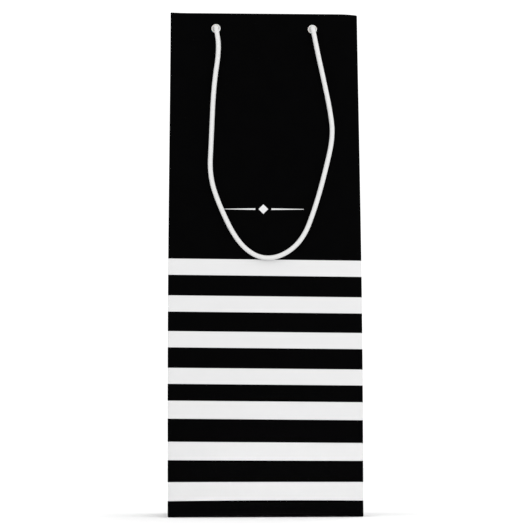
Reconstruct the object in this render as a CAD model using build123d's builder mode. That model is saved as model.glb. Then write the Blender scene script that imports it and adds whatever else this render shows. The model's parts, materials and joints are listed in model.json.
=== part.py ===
"""Wine gift bag: one folded and glued paper sheet with side gussets, stiffening boards, and two
cord handles knotted through eyelets.

The frame stands at the middle of the base: +X to the right, +Y to the rear, +Z up.
The paper sheet is made as the panels that its creases divide it into. A wall's side is -1 at the
front and +1 at the rear, and a hand is -1 at the left and +1 at the right.
"""

import os
from math import cos, degrees, hypot, pi, radians, sin, sqrt, tan

from build123d import *

os.makedirs("parts", exist_ok=True)

# The bag, in millimetres
width = 127.0
depth = 90.0
height = 340.0
fold_height = 80.0  # the level crease: straight walls below it, leaning walls above
mouth_set_back = 5.5  # how far the front and rear walls lean in at the mouth
paper = 0.3

# Base: two long flaps glued over each other, two short flaps on them, and a loose board
flap_overlap = 14.0
short_flap_length = 40.0
flap_taper = 14.0  # how much narrower a short flap is at each end of its free edge
base_board_thickness = 1.2
base_board_gap = 0.9

# Mouth: the edge is turned in over a stiffening board at the front and the rear
hem_height = 38.0
top_board_height = 32.0
top_board_thickness = 0.8
top_board_side_gap = 3.5
hem_gap = 0.2

# Glued side seam
seam_width = 15.0
seam_gap = 0.5

# Cord handles
cord_diameter = 3.2
knot_diameter = 8.0
knot_gap = 0.1  # between the knot and the mouth of the eyelet that stops it
tail_length = 12.0
handle_gap = 0.3  # between a fixed cord end and the swinging loop
handle_bend = 1.2  # how far past the eyelet's flange a cord comes before it turns down

# Eyelets and their washers
eyelet_spacing = 66.0
eyelet_drop = 11.2  # from the mouth down to the eyelets' centres
eyelet_play = 0.8  # the bore's diameter over the cord's
eyelet_wall = 0.5
flange_lip = 0.6  # how far the flange stands out beyond the barrel
flange_height = 0.8
clinch_lip = 0.5
clinch_height = 0.4
washer_lip = 1.5
washer_thickness = 0.6
punch_gap = 0.05

# A handle's route from its left eyelet to its right one: how far across the wall, how far out
# from the plane of the swing axis, and how far below the axis, as it hangs against the wall.
route = [
    (-33.0, 0.0, 0.0),
    (-30.6, -0.5, 15.0),
    (-34.4, -1.2, 41.0),
    (-36.8, -1.6, 79.0),
    (-36.4, -1.5, 103.5),
    (-29.6, -1.2, 125.0),
    (-19.0, -1.4, 149.0),
    (-4.6, -1.6, 159.8),
    (11.0, -1.6, 158.7),
    (25.0, -1.4, 147.0),
    (33.0, -1.2, 124.5),
    (39.6, -1.4, 101.0),
    (46.2, -1.6, 76.0),
    (45.6, -1.5, 58.5),
    (41.4, -1.1, 38.0),
    (37.0, -0.5, 17.5),
    (33.0, 0.0, 0.0),
]
arc_share = 0.45  # of the shorter run, taken up by each arc

# Worked out from the sizes above
lean = mouth_set_back / (height - fold_height)
mouth_half_depth = depth / 2 - mouth_set_back
tuck = sqrt((depth / 2) ** 2 - mouth_half_depth**2)  # how far a side crease folds in at the mouth
mouth_slant = hypot(tuck, mouth_half_depth - paper) / (mouth_half_depth - paper)
short_flap_level = 2 * paper
base_board_level = 3 * paper
inside_bottom = base_board_level + base_board_thickness
hem_bottom = height - hem_height
rim = 2 * paper + top_board_thickness  # wall, board and hem together
bore_radius = (cord_diameter + eyelet_play) / 2
barrel_radius = bore_radius + eyelet_wall
punch_radius = barrel_radius + punch_gap
eyelet_level = height - eyelet_drop
sides = {"front": -1, "rear": 1}
hands = {"left": -1, "right": 1}


def save(piece, label):
    piece.part.label = label
    export_step(piece.part, f"parts/{label}.step")


def folded(z):
    """How far up the leaning walls a level is, from 0 at the crease to 1 at the mouth."""
    return max(0.0, (z - fold_height) / (height - fold_height))


def wall_y(z):
    """Half the bag's depth at a level, to the paper's outer face."""
    return depth / 2 - mouth_set_back * folded(z)


def wall_profile(side, points):
    """(inset from the wall's outer face, level) pairs as points of the YZ plane."""
    return [(side * (wall_y(z) - inset), z) for inset, z in points]


def wall_plane(side):
    """The wall's outer face at the eyelets: local x across, local y up and local z outwards."""
    return Plane(
        origin=(0, side * wall_y(eyelet_level), eyelet_level),
        x_dir=(-side, 0, 0),
        z_dir=(0, side, lean),
    )


def eyelet_places(side):
    """Each hand's eyelet, across the wall's plane."""
    return {name: -side * hand * eyelet_spacing / 2 for name, hand in hands.items()}


def section_plane(side, across):
    """A plane through an eyelet's axis: local x along the wall and local y outwards."""
    wall = wall_plane(side)
    place = wall.from_local_coords(Vector(across, 0, 0))
    return Plane(origin=place, x_dir=wall.x_dir, z_dir=-wall.y_dir)


def swing_plane(side):
    """The plane that a handle hangs in: local x across, local y up and local z outwards."""
    return wall_plane(side).offset(flange_height + handle_bend + cord_diameter / 2)


def gusset_x(z, y, inset):
    """Half the bag's width inside a gusset, at a level and a distance from the middle crease."""
    reach = wall_y(z) - paper
    slant = 1 + folded(z) * (mouth_slant - 1)
    return width / 2 - tuck * folded(z) * (1 - y / reach) - inset * slant


def gusset_outline(hand, side, z, y, inset, thickness):
    """A level section of one half of a gusset, from y to the middle crease."""
    return [
        (hand * gusset_x(z, y, inset), side * y),
        (hand * gusset_x(z, 0, inset), 0),
        (hand * gusset_x(z, 0, inset + thickness), 0),
        (hand * gusset_x(z, y, inset + thickness), side * y),
    ]


# Walls, below and above the level crease
for side_name, side in sides.items():
    with BuildPart() as lower_wall:
        with BuildSketch(Plane.YZ):
            with BuildLine():
                Polyline(
                    *wall_profile(side, [(0, 0), (paper, 0), (paper, fold_height), (0, fold_height)]),
                    close=True,
                )
            make_face()
        extrude(amount=width / 2, both=True)
    save(lower_wall, f"{side_name}_wall_lower")

    with BuildPart() as upper_wall:
        with BuildSketch(Plane.YZ):
            with BuildLine():
                Polyline(
                    *wall_profile(
                        side, [(0, fold_height), (paper, fold_height), (paper, height), (0, height)]
                    ),
                    close=True,
                )
            make_face()
        extrude(amount=width / 2, both=True)
        with BuildSketch(wall_plane(side)):
            with Locations(*[(x, 0) for x in eyelet_places(side).values()]):
                Circle(punch_radius)
        extrude(amount=rim, both=True, mode=Mode.SUBTRACT)
    save(upper_wall, f"{side_name}_wall_upper")

# Side walls below the crease, and the gussets' halves above it
for hand_name, hand in hands.items():
    with BuildPart() as side_wall:
        with BuildSketch(Plane.XY):
            with Locations((hand * (width - paper) / 2, 0)):
                Rectangle(paper, depth - 2 * paper)
        extrude(amount=fold_height)
    save(side_wall, f"{hand_name}_side_lower")

    for side_name, side in sides.items():
        with BuildPart() as gusset:
            for z in (fold_height, height):
                with BuildSketch(Plane.XY.offset(z)):
                    with BuildLine():
                        Polyline(
                            *gusset_outline(hand, side, z, wall_y(z) - paper, 0, paper), close=True
                        )
                    make_face()
            loft(ruled=True)
        save(gusset, f"{hand_name}_gusset_{side_name}")

        with BuildPart() as gusset_hem:
            for z in (hem_bottom, height):
                with BuildSketch(Plane.XY.offset(z)):
                    with BuildLine():
                        Polyline(
                            *gusset_outline(hand, side, z, wall_y(z) - rim - hem_gap, paper, paper),
                            close=True,
                        )
                    make_face()
            loft(ruled=True)
        save(gusset_hem, f"{hand_name}_gusset_hem_{side_name}")

# Glue tab of the sheet's seam, on the inside of the rear wall at its left edge
seam_bottom = inside_bottom + seam_gap
seam_top = hem_bottom - seam_gap
with BuildPart() as seam_tab:
    with BuildSketch(Plane.YZ.offset(seam_gap + paper - width / 2)):
        with BuildLine():
            Polyline(
                *wall_profile(
                    sides["rear"],
                    [
                        (paper, seam_bottom),
                        (2 * paper, seam_bottom),
                        (2 * paper, fold_height),
                        (2 * paper, seam_top),
                        (paper, seam_top),
                        (paper, fold_height),
                    ],
                ),
                close=True,
            )
        make_face()
    extrude(amount=seam_width)
save(seam_tab, "seam_tab")

# Base flaps and base board
long_flap_depth = depth / 2 - paper + flap_overlap / 2
for side_name, side in sides.items():
    level = 0 if side_name == "rear" else paper
    with BuildPart() as long_flap:
        with BuildSketch(Plane.XY.offset(level)):
            with Locations((0, side * (long_flap_depth - flap_overlap) / 2)):
                Rectangle(width - 2 * paper, long_flap_depth)
        extrude(amount=paper)
    save(long_flap, f"{side_name}_base_flap")

for hand_name, hand in hands.items():
    root = width / 2 - paper
    tip = root - short_flap_length
    with BuildPart() as short_flap:
        with BuildSketch(Plane.XY.offset(short_flap_level)):
            with BuildLine():
                Polyline(
                    (hand * root, -depth / 2 + paper),
                    (hand * root, depth / 2 - paper),
                    (hand * tip, depth / 2 - flap_taper),
                    (hand * tip, -depth / 2 + flap_taper),
                    close=True,
                )
            make_face()
        extrude(amount=paper)
    save(short_flap, f"{hand_name}_base_flap")

with BuildPart() as base_board:
    with BuildSketch(Plane.XY.offset(base_board_level)):
        Rectangle(
            width - 2 * (paper + base_board_gap),
            depth - 2 * (paper + base_board_gap),
        )
    extrude(amount=base_board_thickness)
save(base_board, "base_board")

# Stiffening boards and the turned-in hems of the front and rear walls
for side_name, side in sides.items():
    holes = [(x, 0) for x in eyelet_places(side).values()]
    inner = paper + top_board_thickness
    with BuildPart() as top_board:
        with BuildSketch(Plane.YZ):
            with BuildLine():
                Polyline(
                    *wall_profile(
                        side,
                        [
                            (paper, height - paper - top_board_height),
                            (inner, height - paper - top_board_height),
                            (inner, height - paper),
                            (paper, height - paper),
                        ],
                    ),
                    close=True,
                )
            make_face()
        extrude(amount=width / 2 - top_board_side_gap, both=True)
        with BuildSketch(wall_plane(side)):
            with Locations(*holes):
                Circle(punch_radius)
        extrude(amount=2 * rim, both=True, mode=Mode.SUBTRACT)
    save(top_board, f"{side_name}_top_board")

    with BuildPart() as hem:
        with BuildSketch(Plane.YZ):
            with BuildLine():
                Polyline(
                    *wall_profile(
                        side,
                        [
                            (paper, height),
                            (paper, height - paper),
                            (inner, height - paper),
                            (inner, hem_bottom),
                            (rim, hem_bottom),
                            (rim, height),
                        ],
                    ),
                    close=True,
                )
            make_face()
        extrude(amount=gusset_x(height, wall_y(height) - rim, paper) - hem_gap, both=True)
        with BuildSketch(wall_plane(side)):
            with Locations(*holes):
                Circle(punch_radius)
        extrude(amount=2 * rim, both=True, mode=Mode.SUBTRACT)
    save(hem, f"{side_name}_hem")

# Eyelets with their washers, and the knotted ends of the cords behind them
washer_face = -rim * cos(lean) - washer_thickness
barrel_end = washer_face - clinch_height
knot_centre = barrel_end - knot_gap - sqrt((knot_diameter / 2) ** 2 - bore_radius**2)
stub_end = flange_height + handle_bend - handle_gap
for side_name, side in sides.items():
    for hand_name, across in eyelet_places(side).items():
        section = section_plane(side, across)
        bore_axis = Axis(section.origin, section.y_dir)
        with BuildPart() as eyelet:
            with BuildSketch(section):
                with BuildLine():
                    Polyline(
                        (bore_radius, flange_height / 2),
                        (bore_radius, barrel_end),
                        (barrel_radius + clinch_lip, barrel_end),
                        (barrel_radius + clinch_lip, washer_face),
                        (barrel_radius, washer_face),
                        (barrel_radius, 0),
                        (barrel_radius + flange_lip, 0),
                    )
                    ThreePointArc(
                        (barrel_radius + flange_lip, 0),
                        (barrel_radius + flange_lip * cos(pi / 4), flange_height * sin(pi / 4)),
                        (barrel_radius, flange_height),
                    )
                    Line((barrel_radius, flange_height), (bore_radius, flange_height / 2))
                make_face()
            revolve(axis=bore_axis)
        save(eyelet, f"{side_name}_{hand_name}_eyelet")

        with BuildPart() as washer:
            with BuildSketch(wall_plane(side).offset(washer_face)):
                with Locations((across, 0)):
                    Circle(barrel_radius + washer_lip)
                    Circle(punch_radius, mode=Mode.SUBTRACT)
            extrude(amount=washer_thickness)
        save(washer, f"{side_name}_{hand_name}_washer")

        with BuildPart() as cord_end:
            with BuildSketch(wall_plane(side).offset(knot_centre)):
                with Locations((across, 0)):
                    Circle(cord_diameter / 2)
            extrude(amount=stub_end - knot_centre)
            with Locations(section.from_local_coords(Vector(0, knot_centre, 0))):
                Sphere(knot_diameter / 2)
            tail_top = wall_plane(side).from_local_coords(Vector(across, 0, knot_centre))
            with BuildSketch(Plane(origin=tail_top, z_dir=(0, 0, -1))):
                Circle(cord_diameter / 2)
            extrude(amount=tail_length)
        save(cord_end, f"{side_name}_{hand_name}_cord_end")


def arc_radii(points):
    """One radius for each corner of a route, as large as the shorter of its two runs allows."""
    radii = []
    for before, corner, after in zip(points, points[1:], points[2:]):
        turn = (corner - before).get_angle(after - corner)
        shorter = min((corner - before).length, (after - corner).length)
        radii.append(arc_share * shorter / tan(radians(turn) / 2))
    return radii


# Handle loops, which swing about a level axis through their two eyelets
for side_name, side in sides.items():
    hang = swing_plane(side)
    points = [hang.from_local_coords(Vector(x, -down, out)) for x, out, down in route]
    radii = arc_radii(points)
    with BuildPart() as handle:
        with BuildLine():
            path = FilletPolyline(*points, radius=radii)
        with BuildSketch(Plane(origin=path @ 0, z_dir=path % 0)):
            Circle(cord_diameter / 2)
        sweep(path=path)
    save(handle, f"{side_name}_handle_cord")
    turns = [
        (b - a).get_angle(c - b) for a, b, c in zip(points, points[1:], points[2:])
    ]
    print(side_name, "radii", [round(r, 1) for r in radii], "turns", [round(t) for t in turns])
    print(
        side_name,
        "cord length", round(path.length, 1),
        "volume over section times length",
        round(handle.part.volume / (pi * cord_diameter**2 / 4 * path.length), 4),
    )
print("lean", round(degrees(lean), 2), "degrees; side crease folds in", round(tuck, 1))
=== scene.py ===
"""Looks of the wine gift bag: a folded paper shell, braided cord handles and their materials."""

import json
from math import cos, exp, floor, pi, radians, sin, sqrt

import bmesh
import bpy
from mathutils import Matrix, Vector, noise


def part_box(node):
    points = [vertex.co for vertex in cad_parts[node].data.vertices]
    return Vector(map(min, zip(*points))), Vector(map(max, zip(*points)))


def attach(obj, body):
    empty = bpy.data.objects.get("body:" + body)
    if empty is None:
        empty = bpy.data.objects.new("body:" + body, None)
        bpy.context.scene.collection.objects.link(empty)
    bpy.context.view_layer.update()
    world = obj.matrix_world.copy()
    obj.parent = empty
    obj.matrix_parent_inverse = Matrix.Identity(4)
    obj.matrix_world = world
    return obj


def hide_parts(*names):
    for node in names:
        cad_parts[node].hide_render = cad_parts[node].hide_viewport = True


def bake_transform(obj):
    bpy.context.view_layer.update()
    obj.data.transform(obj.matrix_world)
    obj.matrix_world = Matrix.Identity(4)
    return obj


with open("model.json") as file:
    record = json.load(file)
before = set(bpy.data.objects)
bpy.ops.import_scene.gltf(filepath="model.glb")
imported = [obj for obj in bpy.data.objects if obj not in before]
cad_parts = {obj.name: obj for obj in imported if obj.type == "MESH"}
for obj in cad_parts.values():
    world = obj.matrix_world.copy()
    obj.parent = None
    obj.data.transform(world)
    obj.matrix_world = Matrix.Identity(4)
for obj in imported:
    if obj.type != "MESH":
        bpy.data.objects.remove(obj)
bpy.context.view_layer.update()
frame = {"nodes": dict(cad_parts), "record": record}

MM = 0.001
SIDES = {"front": -1, "rear": 1}
HANDS = {"left": -1, "right": 1}

# ---------------------------------------------------------------- sizes read from the frame

wall_low, wall_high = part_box("front_wall_lower")
PAPER = wall_high.y - wall_low.y
HALF_WIDTH = wall_high.x
HALF_DEPTH = -wall_low.y
FOLD_LEVEL = wall_high.z  # the level crease, above which the walls lean in
upper_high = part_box("front_wall_upper")[1]
HEIGHT = upper_high.z
MOUTH_HALF_DEPTH = PAPER - upper_high.y
SET_BACK = HALF_DEPTH - MOUTH_HALF_DEPTH
LEAN = SET_BACK / (HEIGHT - FOLD_LEVEL)
TUCK = sqrt(HALF_DEPTH**2 - MOUTH_HALF_DEPTH**2)  # how far a side crease folds in at the mouth
HEM_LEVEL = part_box("front_hem")[0].z
JOINTS = {joint["name"]: joint for joint in frame["record"]["behaviour"]["joints"]}


def add_mesh(name, bm, rounded=True):
    """Turns a bmesh into a linked object."""
    mesh = bpy.data.meshes.new(name)
    bmesh.ops.recalc_face_normals(bm, faces=bm.faces)
    bm.to_mesh(mesh)
    bm.free()
    if rounded:
        mesh.shade_smooth()
    piece = bpy.data.objects.new(name, mesh)
    bpy.context.scene.collection.objects.link(piece)
    return piece


# ---------------------------------------------------------------- camera and light

SENSOR_WIDTH = 36.0
LENS = 94.8
CAMERA_REACH = 30.0
CAMERA_PLACE = Vector((-31.2, -962.2, 33.3)) * MM
CAMERA_PITCH = radians(8.155)
CAMERA_YAW = radians(1.943)
CAMERA_ROLL = radians(-0.15)

WORLD_STRENGTH = 1.16
MIDDLE = (0.0, 0.0, HEIGHT / 2)
# Each soft box's place, the point that it faces, its size in metres, its power in watts and the
# angle in degrees that its light spreads over
SOFT_BOXES = {
    "key": ((-0.9, -1.3, 0.7), MIDDLE, 0.9, 2.0, 180),
    "fill": ((0.7, -1.1, 0.2), (0.0, 0.0, 0.02), 0.5, 4.0, 180),
    "back": ((0.5, 1.4, 1.1), MIDDLE, 0.9, 6.0, 180),
    "foot": ((0.1, -1.0, 0.06), (0.0, 0.0, -0.01), 0.1, 0.007, 9),
}
GROUND_RADIUS = 14.0
GROUND_SIDES = 96
GROUND_LEVEL = -0.2 * MM


def add_camera():
    """A long lens low in front of the bag, looking up a little."""
    data = bpy.data.cameras.new("camera")
    data.sensor_width = SENSOR_WIDTH
    data.lens = LENS
    data.clip_end = CAMERA_REACH
    camera = bpy.data.objects.new("camera", data)
    camera.matrix_world = (
        Matrix.Translation(CAMERA_PLACE)
        @ Matrix.Rotation(-CAMERA_YAW, 4, "Z")
        @ Matrix.Rotation(pi / 2 + CAMERA_PITCH, 4, "X")
        @ Matrix.Rotation(CAMERA_ROLL, 4, "Z")
    )
    bpy.context.scene.collection.objects.link(camera)
    bpy.context.scene.camera = camera


def add_soft_box(name, place, target, size, power, spread):
    """A square light that faces a point."""
    data = bpy.data.lights.new(name, "AREA")
    data.shape = "SQUARE"
    data.size = size
    data.energy = power
    data.spread = radians(spread)
    light = bpy.data.objects.new(name, data)
    place, target = Vector(place), Vector(target)
    turn = (target - place).to_track_quat("-Z", "Y").to_matrix().to_4x4()
    light.matrix_world = Matrix.Translation(place) @ turn
    bpy.context.scene.collection.objects.link(light)


def add_studio():
    """A white world, the soft boxes and a pale floor."""
    world = bpy.data.worlds.new("studio")
    world.use_nodes = True
    background = world.node_tree.nodes["Background"]
    background.inputs["Color"].default_value = (1.0, 1.0, 1.0, 1.0)
    background.inputs["Strength"].default_value = WORLD_STRENGTH
    bpy.context.scene.world = world
    for name, settings in SOFT_BOXES.items():
        add_soft_box(name, *settings)
    bm = bmesh.new()
    bmesh.ops.create_circle(bm, cap_ends=True, radius=GROUND_RADIUS, segments=GROUND_SIDES)
    ground = add_mesh("floor", bm)
    ground.location.z = GROUND_LEVEL
    ground.data.materials.append(floor_material())
    bpy.context.scene.view_settings.view_transform = "Standard"
    bpy.context.scene.view_settings.look = "None"


# ---------------------------------------------------------------- materials


def grey(tone, blue=None):
    """A colour with one tone in red and green, and the same or another one in blue."""
    return (tone, tone, tone if blue is None else blue, 1)


class Nodes:
    """Short calls for building one material's node tree."""

    def __init__(self, name):
        self.material = bpy.data.materials.new(name)
        self.material.use_nodes = True
        self.tree = self.material.node_tree
        self.shader = self.tree.nodes["Principled BSDF"]

    def set(self, **values):
        """Sets the shader's own sockets."""
        for name, value in values.items():
            self.shader.inputs[name.replace("_", " ")].default_value = value

    def node(self, kind, **settings):
        made = self.tree.nodes.new(kind)
        for name, value in settings.items():
            setattr(made, name, value)
        return made

    def link(self, source, target):
        self.tree.links.new(source, target)

    def feed(self, socket, value):
        """Gives a socket a value or another node's output."""
        if isinstance(value, (int, float, tuple)):
            socket.default_value = value
        else:
            self.link(value, socket)

    def place(self):
        """Object coordinates, which are the frame's own, in metres."""
        return self.node("ShaderNodeTexCoord").outputs["Object"]

    def attribute(self, name):
        return self.node("ShaderNodeAttribute", attribute_name=name)

    def maths(self, operation, *values):
        made = self.node("ShaderNodeMath", operation=operation)
        for socket, value in zip(made.inputs, values):
            self.feed(socket, value)
        return made.outputs[0]

    def noise(self, scale, detail=2.0, roughness=0.5, vector=None, stretch=None):
        made = self.node("ShaderNodeTexNoise")
        made.inputs["Scale"].default_value = scale
        made.inputs["Detail"].default_value = detail
        made.inputs["Roughness"].default_value = roughness
        source = vector or self.place()
        if stretch:
            mapping = self.node("ShaderNodeMapping")
            mapping.inputs["Scale"].default_value = stretch
            self.link(source, mapping.inputs["Vector"])
            source = mapping.outputs[0]
        self.link(source, made.inputs["Vector"])
        return made.outputs["Fac"]

    def ramp(self, value, low, high, start=0.0, end=1.0):
        """value mapped from start..end to low..high, held at both ends."""
        made = self.node("ShaderNodeMapRange", interpolation_type="SMOOTHSTEP")
        self.feed(made.inputs["Value"], value)
        made.inputs["From Min"].default_value = start
        made.inputs["From Max"].default_value = end
        made.inputs["To Min"].default_value = low
        made.inputs["To Max"].default_value = high
        return made.outputs["Result"]

    def mix(self, factor, first, second):
        made = self.node("ShaderNodeMix", data_type="RGBA")
        factor_input, first_input, second_input = made.inputs[0], made.inputs[6], made.inputs[7]
        self.feed(factor_input, factor)
        self.feed(first_input, first)
        self.feed(second_input, second)
        return made.outputs[2]

    def bump(self, height, distance, strength):
        made = self.node("ShaderNodeBump")
        made.inputs["Strength"].default_value = strength
        made.inputs["Distance"].default_value = distance
        self.link(height, made.inputs["Height"])
        return made.outputs["Normal"]

    def finish(self, colour, roughness=None, normal=None):
        for name, source in (("Base Color", colour), ("Roughness", roughness), ("Normal", normal)):
            if source is not None:
                self.feed(self.shader.inputs[name], source)
        return self.material


def floor_material():
    n = Nodes("floor")
    n.set(Roughness=0.9, Specular_IOR_Level=0.0)
    cloud = n.noise(scale=3.0)
    return n.finish(colour=n.mix(cloud, grey(0.89), grey(0.91)))


def printed_paper(name, dark, light, gloss):
    """Coated paper with one ink, its fibre grain just showing through the film. Where the mesh's
    wear attribute is high, the ink is chipped off the fold."""
    n = Nodes(name)
    n.set(Specular_IOR_Level=gloss)
    fibre = n.noise(scale=1400.0, detail=4.0, roughness=0.6)
    ink = n.mix(n.noise(scale=90.0, detail=3.0), dark, light)
    crumbs = n.noise(scale=1100.0, detail=5.0, roughness=0.75)
    chips = n.ramp(crumbs, low=0.0, high=0.4, start=0.50, end=0.74)
    scuff = n.maths("MULTIPLY", n.attribute("wear").outputs["Fac"], chips)
    return n.finish(
        colour=n.mix(scuff, ink, grey(0.40)),
        roughness=n.ramp(fibre, low=0.50, high=0.62),
        normal=n.bump(fibre, distance=0.012 * MM, strength=0.35),
    )


def plain_paper(name, tone, fibre_scale=700.0):
    """Uncoated paper or board: pale, dull and fibrous."""
    n = Nodes(name)
    n.set(Specular_IOR_Level=0.2)
    fibre = n.noise(fibre_scale, detail=5.0, roughness=0.65)
    cloud = n.noise(scale=60.0, detail=3.0)
    darkest = 0.93
    dark, light = (tuple(share * c for c in tone) + (1,) for share in (darkest, 1.0))
    return n.finish(
        colour=n.mix(n.maths("MULTIPLY", cloud, fibre), dark, light),
        roughness=n.ramp(fibre, low=0.82, high=0.95),
        normal=n.bump(fibre, distance=0.03 * MM, strength=0.5),
    )


def eyelet_material():
    """Moulded white plastic, a little glossy, with faint flow marks."""
    n = Nodes("eyelet_plastic")
    n.set(Specular_IOR_Level=0.5, Coat_Weight=0.2, Coat_Roughness=0.2)
    n.set(Subsurface_Weight=0.08, Subsurface_Scale=0.6 * MM)
    flow = n.noise(scale=420.0, detail=3.0)
    return n.finish(
        colour=n.mix(flow, grey(0.60, 0.585), grey(0.66, 0.645)),
        roughness=n.ramp(flow, low=0.28, high=0.4),
        normal=n.bump(flow, distance=0.02 * MM, strength=0.3),
    )


def cord_material():
    """White braided cord: fine fibres along each strand, painted shade in the braid's valleys and a
    soft sheen.
    """
    n = Nodes("cord_braid")
    n.set(Specular_IOR_Level=0.2, Sheen_Weight=0.25, Sheen_Roughness=0.45)
    n.set(Sheen_Tint=(1.0, 1.0, 1.0, 1.0))
    lay = n.attribute("lay").outputs["Vector"]
    along_strand = (9.0, 1.2, 3.0)
    fibre = n.noise(scale=1.0, detail=3.0, roughness=0.6, vector=lay, stretch=along_strand)
    fuzz = n.noise(scale=2600.0, detail=3.0, roughness=0.6)
    yarn = n.mix(fibre, grey(0.60, 0.595), grey(0.67, 0.665))
    # painted shade: the deeper a place lies in the braid's valleys, the more the yarn colour is
    # darkened towards grey 0.36
    shade = n.maths("MULTIPLY", n.attribute("valley").outputs["Fac"], 0.42)
    height = n.maths("ADD", fibre, n.maths("MULTIPLY", fuzz, 0.4))
    return n.finish(
        colour=n.mix(shade, yarn, grey(0.36)),
        roughness=n.ramp(fuzz, low=0.7, high=0.9),
        normal=n.bump(height, distance=0.05 * MM, strength=0.6),
    )


# ---------------------------------------------------------------- cords

# A handle's route as it hangs, in millimetres: across the wall, out from the swing axis's plane,
# and down. It starts and ends inside the bag, at the knots.
ROUTE = [
    (-33.0, -9.4, 0.0),
    (-33.0, -3.6, 0.0),
    (-33.0, 0.0, 0.0),
    (-30.6, -0.5, 15.0),
    (-34.5, -1.2, 41.0),
    (-36.0, -1.6, 79.0),
    (-37.1, -1.5, 103.5),
    (-30.7, -1.2, 123.5),
    (-18.8, -1.4, 148.3),
    (-4.6, -1.6, 159.8),
    (11.0, -1.6, 158.7),
    (25.4, -1.4, 147.0),
    (33.9, -1.2, 124.5),
    (40.5, -1.4, 101.0),
    (46.3, -1.6, 76.0),
    (44.5, -1.5, 58.5),
    (40.5, -1.1, 38.0),
    (36.2, -0.5, 17.5),
    (33.0, 0.0, 0.0),
    (33.0, -3.6, 0.0),
    (33.0, -9.4, 0.0),
]
EYELETS_ACROSS = (ROUTE[0][0], ROUTE[-1][0])
POINTS_PER_SPAN = 24  # read from the route's curve between two of its own points
CORD_DIAMETER = 3.2 * MM

PLAITS = 8  # strands of the braid that run each way round the cord
BRAID_TURN = 15.0 * MM  # cord length in which a strand goes once round
BRAID_RELIEF = 0.13 * MM
RIDGE_LOW = 0.25  # a strand's height at its edges, as a share of its height at its middle
CROSSING_LOW = 0.35  # a strand's height where it dives under another
FIBRES_APART = 3.0  # between the fibre patterns of the strands that run each way
FIBRES_ALONG = 100  # places per metre of cord
CORD_SIDES = 40
CORD_STEP = 0.42 * MM
EYELET_FILL = 0.17  # how much thicker a cord is where it fills its eyelet
EYELET_ALONG = 6.4 * MM  # from a cord's end to the eyelet's flange
EYELET_FILL_LENGTH = 2.2 * MM

# An overhand knot in millimetres, on the trefoil curve
KNOT_CORD_RADIUS = 1.5 * MM
BARREL_END_OUT = -6.0  # the inner end of an eyelet, out from the swing axis's plane
KNOT_SIZE = 1.22
KNOT_ACROSS, KNOT_OUT, KNOT_DOWN = 0.92, 0.86, 1.22  # the trefoil's stretch in each direction
KNOT_BACK = 4.9  # from the barrel's end to the knot's middle
KNOT_OPENING = 34  # degrees of the trefoil left open at each side, where the cord comes and goes
KNOT_STEPS = 16
KNOT_ENTRY = [(0.0, 2.5, 0.0), (0.0, 0.2, 0.0)]
KNOT_TAIL = [(-2.6, -9.5, 1.6), (-1.8, -9.3, 6.0), (-1.2, -8.5, 15.5)]


def hang_frame(side_name):
    """The frame that a handle hangs in: across, out and down, at its swing axis."""
    side = SIDES[side_name]
    place = Vector(JOINTS[f"{side_name}_handle_swing"]["pos_m"])
    across = Vector((-side, 0, 0))
    out = Vector((0, side, LEAN)).normalized()
    down = Vector((0, side * LEAN, -1)).normalized()
    turn = Matrix((across, out, down)).transposed().to_4x4()
    return Matrix.Translation(place) @ turn


def nurbs_line(name, points):
    """Points along the smooth NURBS curve that has these control points."""
    curve = bpy.data.curves.new(name, "CURVE")
    curve.dimensions = "3D"
    curve.resolution_u = POINTS_PER_SPAN
    spline = curve.splines.new("NURBS")
    spline.points.add(len(points) - 1)
    for target, point in zip(spline.points, points):
        target.co = (*point, 1.0)
    spline.order_u = 3
    spline.use_endpoint_u = True
    holder = bpy.data.objects.new(name, curve)
    mesh = bpy.data.meshes.new_from_object(holder)
    line = [vertex.co.copy() for vertex in mesh.vertices]
    bpy.data.objects.remove(holder)
    bpy.data.curves.remove(curve)
    bpy.data.meshes.remove(mesh)
    return line


def evenly(line, step):
    """(the same line with points a step apart, its length)."""
    lengths = [0.0]
    for first, second in zip(line, line[1:]):
        lengths.append(lengths[-1] + (second - first).length)
    count = max(2, round(lengths[-1] / step))
    found, index = [], 0
    for number in range(count + 1):
        along = lengths[-1] * number / count
        while index < len(line) - 2 and lengths[index + 1] < along:
            index += 1
        span = max(lengths[index + 1] - lengths[index], 1e-12)
        found.append(line[index].lerp(line[index + 1], (along - lengths[index]) / span))
    return found, lengths[-1]


def carried_frames(line):
    """(normal, side) at each point, turned as little as the line allows."""
    frames = []
    normal = None
    for index in range(len(line)):
        ahead = line[min(index + 1, len(line) - 1)] - line[max(index - 1, 0)]
        tangent = ahead.normalized()
        if normal is None:
            normal = tangent.orthogonal().normalized()
        else:
            normal = (normal - tangent * normal.dot(tangent)).normalized()
        frames.append((normal, tangent.cross(normal)))
    return frames


def braid_height(angle, along):
    """(height from 0 to 1, place across the strand, place along it) on a round diamond braid."""
    turn = PLAITS * angle / (2 * pi)
    climb = PLAITS * along / BRAID_TURN
    first, second = turn + climb, turn - climb
    over_first = (floor(first) + floor(second)) % 2 == 0
    across = (first if over_first else second) % 1.0
    down = (second if over_first else first) % 1.0
    ridge = sqrt(max(0.0, 1.0 - (2.0 * across - 1.0) ** 2))
    swell = sqrt(sin(pi * down))
    height = (RIDGE_LOW + (1 - RIDGE_LOW) * ridge) * (CROSSING_LOW + (1 - CROSSING_LOW) * swell)
    return height, across + FIBRES_APART * over_first, down


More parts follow.
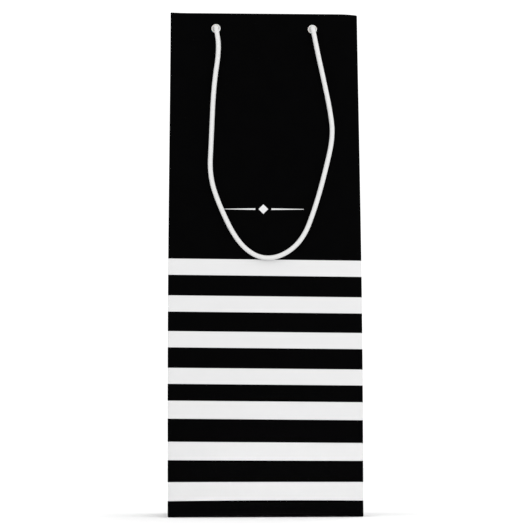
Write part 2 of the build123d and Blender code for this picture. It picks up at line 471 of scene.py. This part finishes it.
def braided_cord(name, line, radius, material, fill=0.0):
    """A round braided cord along a line, which swells by the share fill inside an eyelet near
    each end. Returns it and the points that it follows."""
    centre, length = evenly(line, CORD_STEP)
    bm = bmesh.new()
    lay = bm.verts.layers.float_vector.new("lay")
    valley = bm.verts.layers.float.new("valley")
    rings = []
    for index, (point, (normal, side)) in enumerate(zip(centre, carried_frames(centre))):
        along = length * index / (len(centre) - 1)
        from_eyelet = (min(along, length - along) - EYELET_ALONG) / EYELET_FILL_LENGTH
        full = radius * (1.0 + fill * exp(-(from_eyelet**2)))
        ring = []
        for corner in range(CORD_SIDES):
            angle = 2 * pi * corner / CORD_SIDES
            height, across, down = braid_height(angle, along)
            reach = full - BRAID_RELIEF * (1.0 - height)
            vertex = bm.verts.new(point + reach * (cos(angle) * normal + sin(angle) * side))
            vertex[lay] = (across, down, along * FIBRES_ALONG)
            # how deep the braid's valley lies here, which the cord's material uses to paint shade
            vertex[valley] = 1.0 - height
            ring.append(vertex)
        rings.append(ring)
    for first, second in zip(rings, rings[1:]):
        for corner in range(CORD_SIDES):
            after = (corner + 1) % CORD_SIDES
            bm.faces.new((first[corner], first[after], second[after], second[corner]))
    bm.faces.new(rings[0])
    bm.faces.new(list(reversed(rings[-1])))
    piece = add_mesh(name, bm)
    piece.data.materials.append(material)
    return piece, centre


def knot_points():
    """An overhand knot pulled up behind an eyelet: entry, three lobes, and the hanging tail.

    Each point is across, out and down from the inner end of the eyelet's barrel.
    """
    lobes = []
    for step in range(KNOT_STEPS + 1):
        angle = radians(180 + KNOT_OPENING + (360 - 2 * KNOT_OPENING) * step / KNOT_STEPS)
        across = KNOT_SIZE * KNOT_ACROSS * (cos(angle) - 2 * cos(2 * angle))
        out = KNOT_SIZE * KNOT_OUT * (sin(angle) + 2 * sin(2 * angle)) - KNOT_BACK
        down = -KNOT_SIZE * KNOT_DOWN * sin(3 * angle)
        lobes.append((across, out, down))
    return KNOT_ENTRY + lobes + KNOT_TAIL


def add_knot(side_name, hand_name, to_row, material):
    """The knot behind one eyelet, with its tail."""
    local = -SIDES[side_name] * HANDS[hand_name]  # left and right turn with the wall
    middle = Vector((local * EYELETS_ACROSS[1], BARREL_END_OUT, 0.0))
    shape = [
        to_row @ ((middle + Vector((-local * across, out, down))) * MM)
        for across, out, down in knot_points()
    ]
    name = f"{side_name}_{hand_name}_knot"
    knot, _ = braided_cord(name, nurbs_line(f"{name}_route", shape), KNOT_CORD_RADIUS, material)
    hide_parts(f"{side_name}_{hand_name}_cord_end")
    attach(knot, "bag")
    return knot


def add_handle(side_name, material):
    """One handle's cord, which bends where it leaves its eyelets, and its two knots."""
    to_row = hang_frame(side_name)
    points = [to_row @ (Vector((x, out, down)) * MM) for x, out, down in ROUTE]
    line = nurbs_line(f"{side_name}_route", points)
    name = f"{side_name}_handle_rope"
    piece, path = braided_cord(name, line, CORD_DIAMETER / 2, material, EYELET_FILL)
    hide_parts(f"{side_name}_handle_cord")
    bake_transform(piece)
    knots = [add_knot(side_name, hand_name, to_row, material) for hand_name in HANDS]


# ---------------------------------------------------------------- the folded sheet's shape

# The top and bottom level of each white stripe, at the middle of a wall
STRIPES = [
    (168.7 * MM, 157.8 * MM),
    (144.0 * MM, 133.2 * MM),
    (120.2 * MM, 109.5 * MM),
    (96.0 * MM, 85.5 * MM),
    (74.5 * MM, 62.8 * MM),
    (47.9 * MM, 36.2 * MM),
    (22.3 * MM, 10.3 * MM),
]
PRINT_SLOPE = 0.0095  # how far the print runs downhill to the right, between these levels:
SLOPE_FROM, SLOPE_RISE = 8 * MM, 50 * MM
SLOPE_TO, SLOPE_FALL = 185 * MM, 100 * MM

# The mesh's rows and columns
ROW_STEP = 2.4 * MM
ROW_CLEARANCE = 0.8 * MM  # between a plain row of the mesh and a stripe's edge
CREASE_ROWS = (-1.6, -0.9, -0.4, 0.0, 0.4, 0.9, 1.6)  # millimetres from the level crease
FOOT_STEPS = 4
MOUTH_STEPS = 8
HEM_STEPS = 16
WALL_STEPS = 64
GUSSET_STEPS = 28
TOLERANCE = 1e-9

# Folds
FOLD_RADIUS = 0.5 * MM
FOOT_RADIUS = 0.6 * MM
WALL_RIM = 1.5 * MM  # from a wall's outer face to its hem's inner face
GUSSET_RIM = 0.75 * MM
CORNER_OUT = 0.25  # how far a fold's own column stands out, as a share of the fold's radius
CREASE_INSET = 1.1  # how much further in than its gusset's faces a side crease's hem lies
TUCK_CURVE = 1.15
FOOT_WEAR, SIDE_WEAR, MOUTH_WEAR = 0.5, 0.8, 0.7

# Bends that the paper takes
SWELL = 0.95 * MM  # how far each side edge stands out at mid height
SWELL_CURVE = 1.2
MOUTH_FLARE = 0.75 * MM
FLARE_CURVE = 3
CORNER_TURNS = {"left": -1.0 * MM, "right": 2.4 * MM}  # how far the front's mouth corners turn back
CORNER_START = 50 * MM
CORNER_CURVE = 2.3
FOOT_BOW = 0.6 * MM  # how far a wall's foot arches off the floor at its middle
FOOT_BOW_HEIGHT = 25 * MM
FOLD_DENT = 0.2 * MM
FOLD_DENT_HEIGHT = 0.8 * MM
SIDE_WAVE = 1.0 * MM
WAVES = Vector((14, 14, 9))  # waves per metre across, along and up
WAVES_SHIFT = Vector((0, 3.1, 0))
SIDE_CREASE = 0.45 * MM  # depth of the diagonal creases at the foot of each side
SIDE_CREASE_WIDTH = 4 * MM
SIDE_START = 0.9  # of the half width: outwards of it a point is on the side, not on a wall


def clamped(value):
    return max(0.0, min(1.0, value))


def eased(value):
    value = clamped(value)
    return value * value * (3.0 - 2.0 * value)


def folded(z):
    """How far up the leaning walls a level is, from 0 at the level crease to 1 at the mouth."""
    return max(0.0, (z - FOLD_LEVEL) / (HEIGHT - FOLD_LEVEL))


def wall_y(z):
    """Half the depth at a level."""
    return HALF_DEPTH - SET_BACK * folded(z)


def half_width(z):
    """Half the width at the side edges, which bow out a little between base and mouth."""
    swell = SWELL * sin(pi * clamped(z / HEIGHT)) ** SWELL_CURVE
    return HALF_WIDTH + swell + MOUTH_FLARE * folded(z) ** FLARE_CURVE


def outline(z, wall_inset, gusset_inset):
    """The six corners of the bag's plan at a level, from the front left corner round."""
    y = wall_y(z) - wall_inset
    tucked = TUCK * folded(z) ** TUCK_CURVE
    edge = half_width(z) - wall_inset / wall_y(z) * tucked - gusset_inset
    crease = half_width(z) - tucked - gusset_inset * CREASE_INSET
    corners = [(-edge, -y), (edge, -y), (crease, 0), (edge, y), (-edge, y), (-crease, 0)]
    return [Vector(corner) for corner in corners]


def stations(corners):
    """(plan point, wear) round the outline, with each corner rounded over its fold radius."""
    found = []
    for index, corner in enumerate(corners):
        after = corners[(index + 1) % len(corners)]
        arriving = (corner - corners[index - 1]).normalized()
        leaving = (after - corner).normalized()
        found.append((corner - FOLD_RADIUS * arriving, 0.0))
        found.append((corner + CORNER_OUT * FOLD_RADIUS * (leaving - arriving), SIDE_WEAR))
        steps = WALL_STEPS if index in (0, 3) else GUSSET_STEPS
        start, end = corner + FOLD_RADIUS * leaving, after - FOLD_RADIUS * leaving
        found += [(start.lerp(end, number / steps), 0.0) for number in range(steps)]
    return found


def print_shift(x, z):
    """How far the print, and the mesh's rows with it, runs up or down from level at a place."""
    fade = eased((z - SLOPE_FROM) / SLOPE_RISE) * (1.0 - eased((z - SLOPE_TO) / SLOPE_FALL))
    return -PRINT_SLOPE * x * fade


def pushed(x, y, z):
    """A point of the flat-sided bag, moved by the paper's bends, bows and turned corners."""
    on_wall = min(1.0, abs(y) / wall_y(z))
    on_side = 1.0 - on_wall
    outward_x, outward_y = (1 if x > 0 else -1), (1 if y > 0 else -1)
    if y < 0:
        turn = CORNER_TURNS["right" if x > 0 else "left"]
        reach = max(0.0, (abs(x) - CORNER_START) / (HALF_WIDTH - CORNER_START))
        y += turn * reach**CORNER_CURVE * folded(z) ** 3 * on_wall**2
    wave = SIDE_WAVE * noise.noise(Vector((x, y, z)) * WAVES + WAVES_SHIFT)
    x += wave * on_side * outward_x * sin(pi * clamped(z / HEIGHT))
    if z < FOLD_LEVEL:
        from_diagonal = abs(z - (HALF_DEPTH - abs(y)))
        side = eased((abs(x) - SIDE_START * HALF_WIDTH) / ((1 - SIDE_START) * HALF_WIDTH))
        crease = exp(-from_diagonal / SIDE_CREASE_WIDTH) * min(1.0, 3 * on_side)
        x -= outward_x * side * SIDE_CREASE * crease
    dent = FOLD_DENT * exp(-(((z - FOLD_LEVEL) / FOLD_DENT_HEIGHT) ** 2))
    y -= outward_y * on_wall * dent
    bow = FOOT_BOW * max(0.0, 1.0 - (x / HALF_WIDTH) ** 2) * on_wall**2
    z += bow * max(0.0, 1.0 - z / FOOT_BOW_HEIGHT)
    return Vector((x, y, z))


def shell_rows():
    """(level, wall inset, gusset inset, wear) up the outside, over the mouth and down the hem."""
    rows = []
    for step in range(FOOT_STEPS):
        angle = pi / 2 * step / FOOT_STEPS
        inset = FOOT_RADIUS * (1 - sin(angle))
        rows.append((FOOT_RADIUS * (1 - cos(angle)), inset, inset, FOOT_WEAR))
    fold_top = HEIGHT - WALL_RIM / 2
    edges = [level for stripe in STRIPES for level in stripe]
    creases = [FOLD_LEVEL + shift * MM for shift in CREASE_ROWS]
    count = round((fold_top - FOOT_RADIUS) / ROW_STEP)
    body = [FOOT_RADIUS + (fold_top - FOOT_RADIUS) * number / count for number in range(count + 1)]
    body = [z for z in body if min(abs(z - edge) for edge in edges + creases) > ROW_CLEARANCE]
    rows += [(z, 0.0, 0.0, 0.0) for z in sorted(body + edges + creases)]
    for step in range(1, MOUTH_STEPS):
        angle = pi * step / MOUTH_STEPS
        level = fold_top + WALL_RIM / 2 * sin(angle)
        in_share = (1 - cos(angle)) / 2
        rows.append((level, WALL_RIM * in_share, GUSSET_RIM * in_share, MOUTH_WEAR))
    for step in range(HEM_STEPS + 1):
        level = fold_top - (fold_top - HEM_LEVEL) * step / HEM_STEPS
        rows.append((level, WALL_RIM, GUSSET_RIM, 0.0))
    return rows


def in_stripe(low, high):
    return any(bottom - TOLERANCE <= low and high <= top + TOLERANCE for top, bottom in STRIPES)


# ---------------------------------------------------------------- paper pieces

PUNCH_RADIUS = 2.6 * MM
PUNCH_SIDES = 32
PUNCH_DEPTH = 9 * MM
PUNCH_OUT = -4.0 * MM  # the cut's middle, out from the swing axis's plane
BLACK, WHITE, INNER, CORE = 0, 1, 2, 4  # the shell's slots; the inside has one for each ink

BOARD_GAP = 0.05 * MM
BOARD_THICKNESS = 0.8 * MM
BOARD_STEPS = (60, 16)  # across and up
FLAP_STEPS = (40, 24)
FLAP_RAMP = 30 * MM  # how far from its fold a base flap reaches its own level

# A plain divider printed on the front wall, between the handle's legs
DIVIDER_LEVEL = 203.0 * MM
DIVIDER_SHIFT = -1.0 * MM
DIVIDER_REACH = 27.0 * MM
DIVIDER_GAP = 5.4 * MM
DIVIDER_THICK, DIVIDER_THIN = 0.55 * MM, 0.18 * MM  # half a rule's height at its ends
DIVIDER_STEPS = 24
DIVIDER_GEM = 3.2 * MM
GEM_STEPS = 4
GEM_HEIGHT = 1.02  # of its width
INK_THICKNESS = 0.04 * MM


def applied(piece):
    """Turns the piece's modifiers into mesh."""
    graph = bpy.context.evaluated_depsgraph_get()
    mesh = bpy.data.meshes.new_from_object(
        piece.evaluated_get(graph), preserve_all_data_layers=True, depsgraph=graph
    )
    old = piece.data
    piece.modifiers.clear()
    piece.data = mesh
    bpy.data.meshes.remove(old)


def punch(piece):
    """Cuts the four eyelets' holes through a piece."""
    bm = bmesh.new()
    for side_name in SIDES:
        for across in EYELETS_ACROSS:
            middle = Matrix.Translation((across * MM, PUNCH_OUT, 0.0))
            bmesh.ops.create_cone(
                bm,
                cap_ends=True,
                segments=PUNCH_SIDES,
                radius1=PUNCH_RADIUS,
                radius2=PUNCH_RADIUS,
                depth=PUNCH_DEPTH,
                matrix=hang_frame(side_name) @ middle @ Matrix.Rotation(pi / 2, 4, "X"),
            )
    cutter = add_mesh("punch", bm, rounded=False)
    holes = piece.modifiers.new("holes", "BOOLEAN")
    holes.operation = "DIFFERENCE"
    holes.solver = "EXACT"
    holes.object = cutter
    bpy.context.view_layer.update()
    applied(piece)
    bpy.data.objects.remove(cutter)


def add_shell(black, white, inner, core):
    """The folded sheet: outside, mouth fold and hem in one, with the paper's own thickness."""
    bm = bmesh.new()
    wear = bm.verts.layers.float.new("wear")
    rows = shell_rows()
    rings = []
    for z, wall_inset, gusset_inset, row_wear in rows:
        ring = []
        for point, fold_wear in stations(outline(z, wall_inset, gusset_inset)):
            vertex = bm.verts.new(pushed(point.x, point.y, z + print_shift(point.x, z)))
            vertex[wear] = max(row_wear, fold_wear)
            ring.append(vertex)
        rings.append(ring)
    count = len(rings[0])
    for (row, first), (next_row, second) in zip(zip(rows, rings), zip(rows[1:], rings[1:])):
        outside = row[1] == 0.0
        ink = WHITE if outside and in_stripe(row[0], next_row[0]) else BLACK
        for number in range(count):
            after = (number + 1) % count
            face = bm.faces.new((first[number], first[after], second[after], second[number]))
            face.material_index = ink
    mesh = bpy.data.meshes.new("paper_shell")
    bm.to_mesh(mesh)
    bm.free()
    mesh.shade_smooth()
    shell = bpy.data.objects.new("paper_shell", mesh)
    bpy.context.scene.collection.objects.link(shell)
    for material in (black, white, inner, inner, core):
        mesh.materials.append(material)
    solid = shell.modifiers.new("thickness", "SOLIDIFY")
    solid.thickness = PAPER
    solid.offset = -1
    solid.material_offset = INNER
    solid.material_offset_rim = CORE
    applied(shell)
    for face in shell.data.polygons:
        if face.material_index == CORE and face.center.z < FOLD_LEVEL:
            face.material_index = BLACK  # the foot is a fold, not a cut edge
    punch(shell)
    nodes = [f"{side}_{part}" for side in SIDES for part in ("wall_lower", "wall_upper", "hem")]
    nodes += [f"{hand}_side_lower" for hand in HANDS]
    gussets = ("gusset", "gusset_hem")
    nodes += [f"{hand}_{part}_{side}" for hand in HANDS for part in gussets for side in SIDES]
    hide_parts(*nodes)
    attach(shell, "bag")


def add_plate(name, node, place, steps, thickness, materials, punched=False):
    """A bent plate that stands for a CAD node. place(u, v) gives a point of its lower or outer
    face and the way that its thickness goes. The second material is for the other face and for
    the cut edges, which is every edge except the one at v = 0."""
    across_steps, up_steps = steps
    bm = bmesh.new()
    grids = []
    for layer in (0, 1):
        grid = []
        for row in range(up_steps + 1):
            line = []
            for column in range(across_steps + 1):
                point, way = place(column / across_steps, row / up_steps)
                line.append(bm.verts.new(pushed(*(point + way * thickness * layer))))
            grid.append(line)
        grids.append(grid)
    outer, inner = grids
    for row in range(up_steps):
        for column in range(across_steps):
            corners = ((row, column), (row, column + 1), (row + 1, column + 1), (row + 1, column))
            bm.faces.new([outer[r][c] for r, c in corners])
            bm.faces.new([inner[r][c] for r, c in reversed(corners)]).material_index = 1
    border = [(0, c) for c in range(across_steps)]
    border += [(r, across_steps) for r in range(up_steps)]
    border += [(up_steps, c) for c in range(across_steps, 0, -1)]
    border += [(r, 0) for r in range(up_steps, 0, -1)]
    for (r, c), (next_r, next_c) in zip(border, border[1:] + border[:1]):
        edge = (outer[r][c], inner[r][c], inner[next_r][next_c], outer[next_r][next_c])
        bm.faces.new(edge).material_index = 1 if r or next_r else 0
    plate = add_mesh(name, bm, rounded=False)
    for material in materials:
        plate.data.materials.append(material)
    if punched:
        punch(plate)
    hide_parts(node)
    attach(plate, "bag")


def add_top_board(side_name, board):
    """A stiffening board, bent as its wall is, between the wall and its hem."""
    side = SIDES[side_name]
    node = f"{side_name}_top_board"
    low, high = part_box(node)

    def place(u, v):
        x = low.x + (high.x - low.x) * u
        z = low.z + (high.z - low.z) * v
        return Vector((x, side * (wall_y(z) - PAPER - BOARD_GAP), z)), Vector((0, -side, 0))

    name = f"{side_name}_mouth_board"
    materials = (board, board)
    add_plate(name, node, place, BOARD_STEPS, BOARD_THICKNESS, materials, punched=True)


def add_long_flap(side_name, printed, inner):
    """A base flap: it leaves the foot of its wall and lies on or under the other one."""
    node = f"{side_name}_base_flap"
    low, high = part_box(node)
    near, far = (high.y, low.y) if side_name == "rear" else (low.y, high.y)

    def place(u, v):
        x = low.x + (high.x - low.x) * u
        y = near + (far - near) * v
        return Vector((x, y, low.z * eased(abs(y - near) / FLAP_RAMP))), Vector((0, 0, 1))

    name = f"{side_name}_foot_flap"
    add_plate(name, node, place, FLAP_STEPS, PAPER, (printed, inner))


def add_divider(white):
    """Two tapered rules and a small diamond, as thin solids of ink on the front wall."""
    bm = bmesh.new()

    def bar(profile):
        """A flat bar through stations, each with its place across and half its height."""
        sections = []
        for across, half in profile:
            x = DIVIDER_SHIFT + across
            levels = (DIVIDER_LEVEL - half, DIVIDER_LEVEL + half)
            depths = (-INK_THICKNESS, PAPER / 3)
            points = [(x, depth - wall_y(z), z) for depth in depths for z in levels]
            sections.append([bm.verts.new(pushed(*point)) for point in points])
        for a, b in zip(sections, sections[1:]):
            for one, other in ((0, 1), (1, 3), (3, 2), (2, 0)):
                bm.faces.new((a[one], a[other], b[other], b[one]))
        for section in (sections[0], sections[-1]):
            bm.faces.new((section[0], section[1], section[3], section[2]))

    for hand in HANDS.values():
        rule = []
        for step in range(DIVIDER_STEPS + 1):
            share = step / DIVIDER_STEPS
            across = DIVIDER_GAP + (DIVIDER_REACH - DIVIDER_GAP) * share
            rule.append((hand * across, DIVIDER_THICK + (DIVIDER_THIN - DIVIDER_THICK) * share))
        bar(rule)
    shares = [step / GEM_STEPS for step in range(-GEM_STEPS, GEM_STEPS + 1)]
    bar([(DIVIDER_GEM * share, DIVIDER_GEM * (GEM_HEIGHT - abs(share))) for share in shares])
    piece = add_mesh("front_divider", bm, rounded=False)
    piece.data.materials.append(white)
    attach(piece, "bag")


def dress(names, material):
    """Gives CAD nodes that stay visible their material."""
    for name in names:
        node = frame["nodes"][name]
        node.data.materials.clear()
        node.data.materials.append(material)


# ---------------------------------------------------------------- the scene

add_camera()
add_studio()
cord_cotton = cord_material()
for side_name in SIDES:
    add_handle(side_name, cord_cotton)

black_ink = printed_paper("black_ink", grey(0.0003, 0.0004), grey(0.0008, 0.0009), gloss=0.012)
white_ink = printed_paper("white_ink", grey(0.595, 0.597), grey(0.612, 0.614), gloss=0.12)
white_inner = plain_paper("white_inner", (0.60, 0.60, 0.595))
white_core = plain_paper("white_core", (0.58, 0.58, 0.57))
grey_board = plain_paper("grey_board", (0.42, 0.41, 0.385), fibre_scale=450.0)
plastic = eyelet_material()
add_shell(black_ink, white_ink, white_inner, white_core)
for side_name in SIDES:
    add_top_board(side_name, grey_board)
    add_long_flap(side_name, black_ink, white_inner)
add_divider(white_ink)
fittings = ("eyelet", "washer")
dress([f"{side}_{hand}_{part}" for side in SIDES for hand in HANDS for part in fittings], plastic)
dress(["base_board"], grey_board)
dress([f"{hand}_base_flap" for hand in HANDS] + ["seam_tab"], white_inner)
